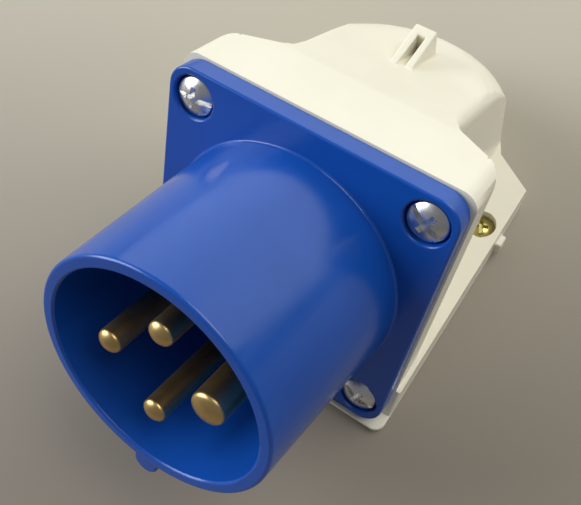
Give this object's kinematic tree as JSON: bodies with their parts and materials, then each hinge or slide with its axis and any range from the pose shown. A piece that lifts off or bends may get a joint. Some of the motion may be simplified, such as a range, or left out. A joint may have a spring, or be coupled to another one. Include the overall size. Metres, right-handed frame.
{
  "type": "wall mounted appliance inlet",
  "caption": "Angled wall mounted pin and sleeve power inlet: blue round collar with brass pins on a square flange, on a cream housing with a rounded hood and a back plate.",
  "frame": {"origin": "centre of the four wall-fixing holes, on the wall face of the back plate", "axes": "+Z out of the wall, +Y up the wall towards the hood, +X to the right seen from the front; the collar points along -Y and +Z"},
  "size_m": [0.0678, 0.117, 0.0718],
  "materials": {
    "blue_plastic": "semi gloss",
    "grey_plastic": "matte",
    "brass": "machined",
    "zinc": "zinc plated",
    "black_rubber": "matte",
    "cream_plastic": "semi gloss",
    "yellow_zinc": "yellow zinc plated",
    "grey_rubber": "matte"
  },
  "bodies": {
    "root": {"inlet_body": "blue_plastic", "contact_carrier": "grey_plastic", "pin_l1": "brass", "pin_l2": "brass", "pin_l3": "brass", "pin_earth": "brass", "terminal_screws": "zinc", "carrier_screws": "zinc", "flange_gasket": "black_rubber", "flange_screws": "zinc", "housing": "cream_plastic", "housing_screws": "yellow_zinc", "back_plate": "cream_plastic", "back_seal": "black_rubber", "entry_grommet": "grey_rubber"}
  },
  "joints": []
}
